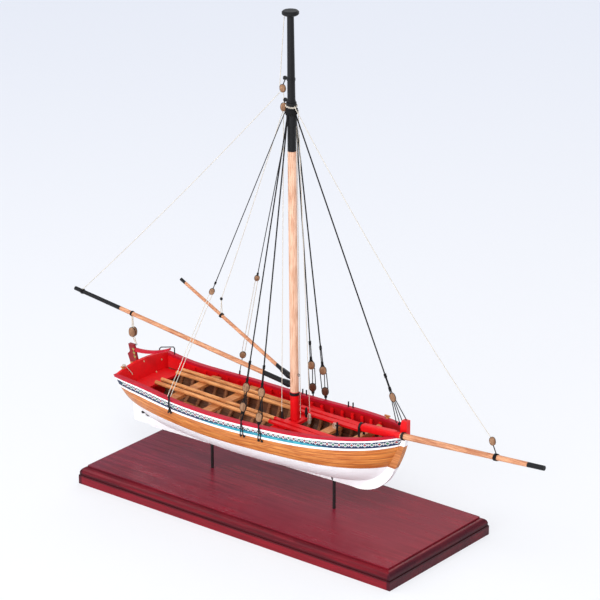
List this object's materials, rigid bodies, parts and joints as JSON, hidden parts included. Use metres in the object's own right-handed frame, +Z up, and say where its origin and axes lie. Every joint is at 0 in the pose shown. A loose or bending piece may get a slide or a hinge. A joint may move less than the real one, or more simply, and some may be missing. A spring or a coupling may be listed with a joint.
{
  "type": "longboat display model",
  "caption": "Rigged wooden longboat model with mast, boom, gaff, bowsprit, oars and a hinged rudder, on two pins over a moulded mahogany plinth.",
  "frame": {"origin": "centre of the plinth's underside", "axes": "+X to the bow, +Y to port, +Z up"},
  "size_m": [0.243, 0.0664, 0.213],
  "materials": {
    "mahogany": "satin varnish over dark red mahogany",
    "oiled_wood": "oiled boxwood or cherry, natural",
    "white_paint": "satin white paint on wood",
    "red_paint": "satin red paint on wood",
    "painted_frieze": "dark blue ground with small painted flowers and leaves",
    "black_paint": "satin black paint on wood",
    "blackened_steel": "blackened",
    "blackened_iron": "blackened",
    "black_cord": "laid black cord",
    "block_wood": "small pear wood blocks"
  },
  "bodies": {
    "boat": {"boom": "oiled_wood", "boom_jaws": "black_paint", "bottom_planking": "white_paint", "bow_beam": "oiled_wood", "bowsprit": "oiled_wood", "bowsprit_irons": "blackened_iron", "bulwark_lining": "red_paint", "cap_rail": "red_paint", "chainplates": "blackened_iron", "cleats": "block_wood", "floorboards": "oiled_wood", "forestay": "black_cord", "frames": "oiled_wood", "gaff": "oiled_wood", "gaff_jaws": "black_paint", "gudgeons": "blackened_iron", "keel": "white_paint", "keelson": "oiled_wood", "mast": "oiled_wood", "mast_band": "black_paint", "mast_heel": "red_paint", "mast_hounds": "black_cord", "mast_thwart": "red_paint", "mast_truck": "black_paint", "mouldings": "white_paint", "oars": "oiled_wood", "plinth": "mahogany", "risers": "oiled_wood", "sheer_strake": "painted_frieze", "shroud_blocks": "block_wood", "shroud_falls": "black_cord", "shrouds": "black_cord", "side_planking": "oiled_wood", "stay_block": "block_wood", "stem": "oiled_wood", "stern_platform": "red_paint", "sternpost": "oiled_wood", "support_pins": "blackened_steel", "thole_pins": "blackened_iron", "thwarts": "oiled_wood", "timberheads": "red_paint", "transom": "red_paint"},
    "rudder": {"pintles": "blackened_iron", "rudder": "white_paint", "tiller": "red_paint"}
  },
  "joints": [
    {"name": "rudder_hinge", "type": "hinge", "parent": "boat", "child": "rudder", "pos_m": [-0.0702, 0, 0.019], "axis": [-0.2495, 0, 0.9684], "range_deg": [-30, 30]}
  ]
}
